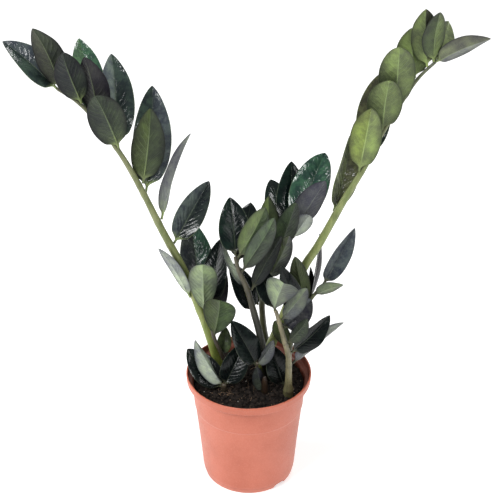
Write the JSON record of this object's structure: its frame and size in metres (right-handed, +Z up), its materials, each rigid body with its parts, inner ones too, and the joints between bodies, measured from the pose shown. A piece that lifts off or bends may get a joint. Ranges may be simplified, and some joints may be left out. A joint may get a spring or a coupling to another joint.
{
  "type": "potted zz plant",
  "caption": "Dark-leaved ZZ plant with arching fronds of thick oval leaflets, growing from soil in a plain tapered terracotta-coloured plastic nursery pot.",
  "frame": {"origin": "centre of the pot's flat underside, on the surface the pot stands on", "axes": "+Z up along the pot's axis, -Y towards the display side, +X to the right seen from the display side"},
  "size_m": [0.426, 0.157, 0.472],
  "materials": {
    "pot": "satin moulded terracotta-coloured polypropylene",
    "soil": "crumbly dark peat potting mix with a few pale grains",
    "leaf": "waxy near-black green upper side, matte grey-green underside with a pale midrib",
    "green_stem": "smooth fleshy pale yellow-green stalk, darker towards its base",
    "brown_stem": "smooth fleshy olive-brown stalk with fine dark flecks"
  },
  "bodies": {
    "root": {"back_frond_stem": "brown_stem", "back_leaflet_01": "leaf", "back_leaflet_02": "leaf", "back_leaflet_03": "leaf", "back_leaflet_04": "leaf", "back_leaflet_05": "leaf", "back_leaflet_06": "leaf", "back_leaflet_07": "leaf", "back_leaflet_08": "leaf", "back_leaflet_09": "leaf", "centre_frond_stem": "brown_stem", "centre_leaflet_01": "leaf", "centre_leaflet_02": "leaf", "centre_leaflet_03": "leaf", "centre_leaflet_04": "leaf", "centre_leaflet_05": "leaf", "centre_leaflet_06": "leaf", "centre_leaflet_07": "leaf", "front_frond_stem": "brown_stem", "front_leaflet_01": "leaf", "front_leaflet_02": "leaf", "front_leaflet_03": "leaf", "front_leaflet_04": "leaf", "front_leaflet_05": "leaf", "front_leaflet_06": "leaf", "front_leaflet_07": "leaf", "front_leaflet_08": "leaf", "front_stub_shoot": "leaf", "left_frond_stem": "green_stem", "left_front_shoot": "leaf", "left_leaflet_01": "leaf", "left_leaflet_02": "leaf", "left_leaflet_03": "leaf", "left_leaflet_04": "leaf", "left_leaflet_05": "leaf", "left_leaflet_06": "leaf", "left_leaflet_07": "leaf", "left_leaflet_08": "leaf", "left_leaflet_09": "leaf", "left_leaflet_10": "leaf", "left_leaflet_11": "leaf", "left_leaflet_12": "leaf", "left_leaflet_13": "leaf", "left_leaflet_14": "leaf", "left_middle_shoot": "leaf", "middle_shoot": "leaf", "pot": "pot", "right_back_shoot": "leaf", "right_frond_stem": "green_stem", "right_leaflet_01": "leaf", "right_leaflet_02": "leaf", "right_leaflet_03": "leaf", "right_leaflet_04": "leaf", "right_leaflet_05": "leaf", "right_leaflet_06": "leaf", "right_leaflet_07": "leaf", "right_leaflet_08": "leaf", "right_leaflet_09": "leaf", "right_leaflet_10": "leaf", "soil": "soil"}
  },
  "joints": []
}
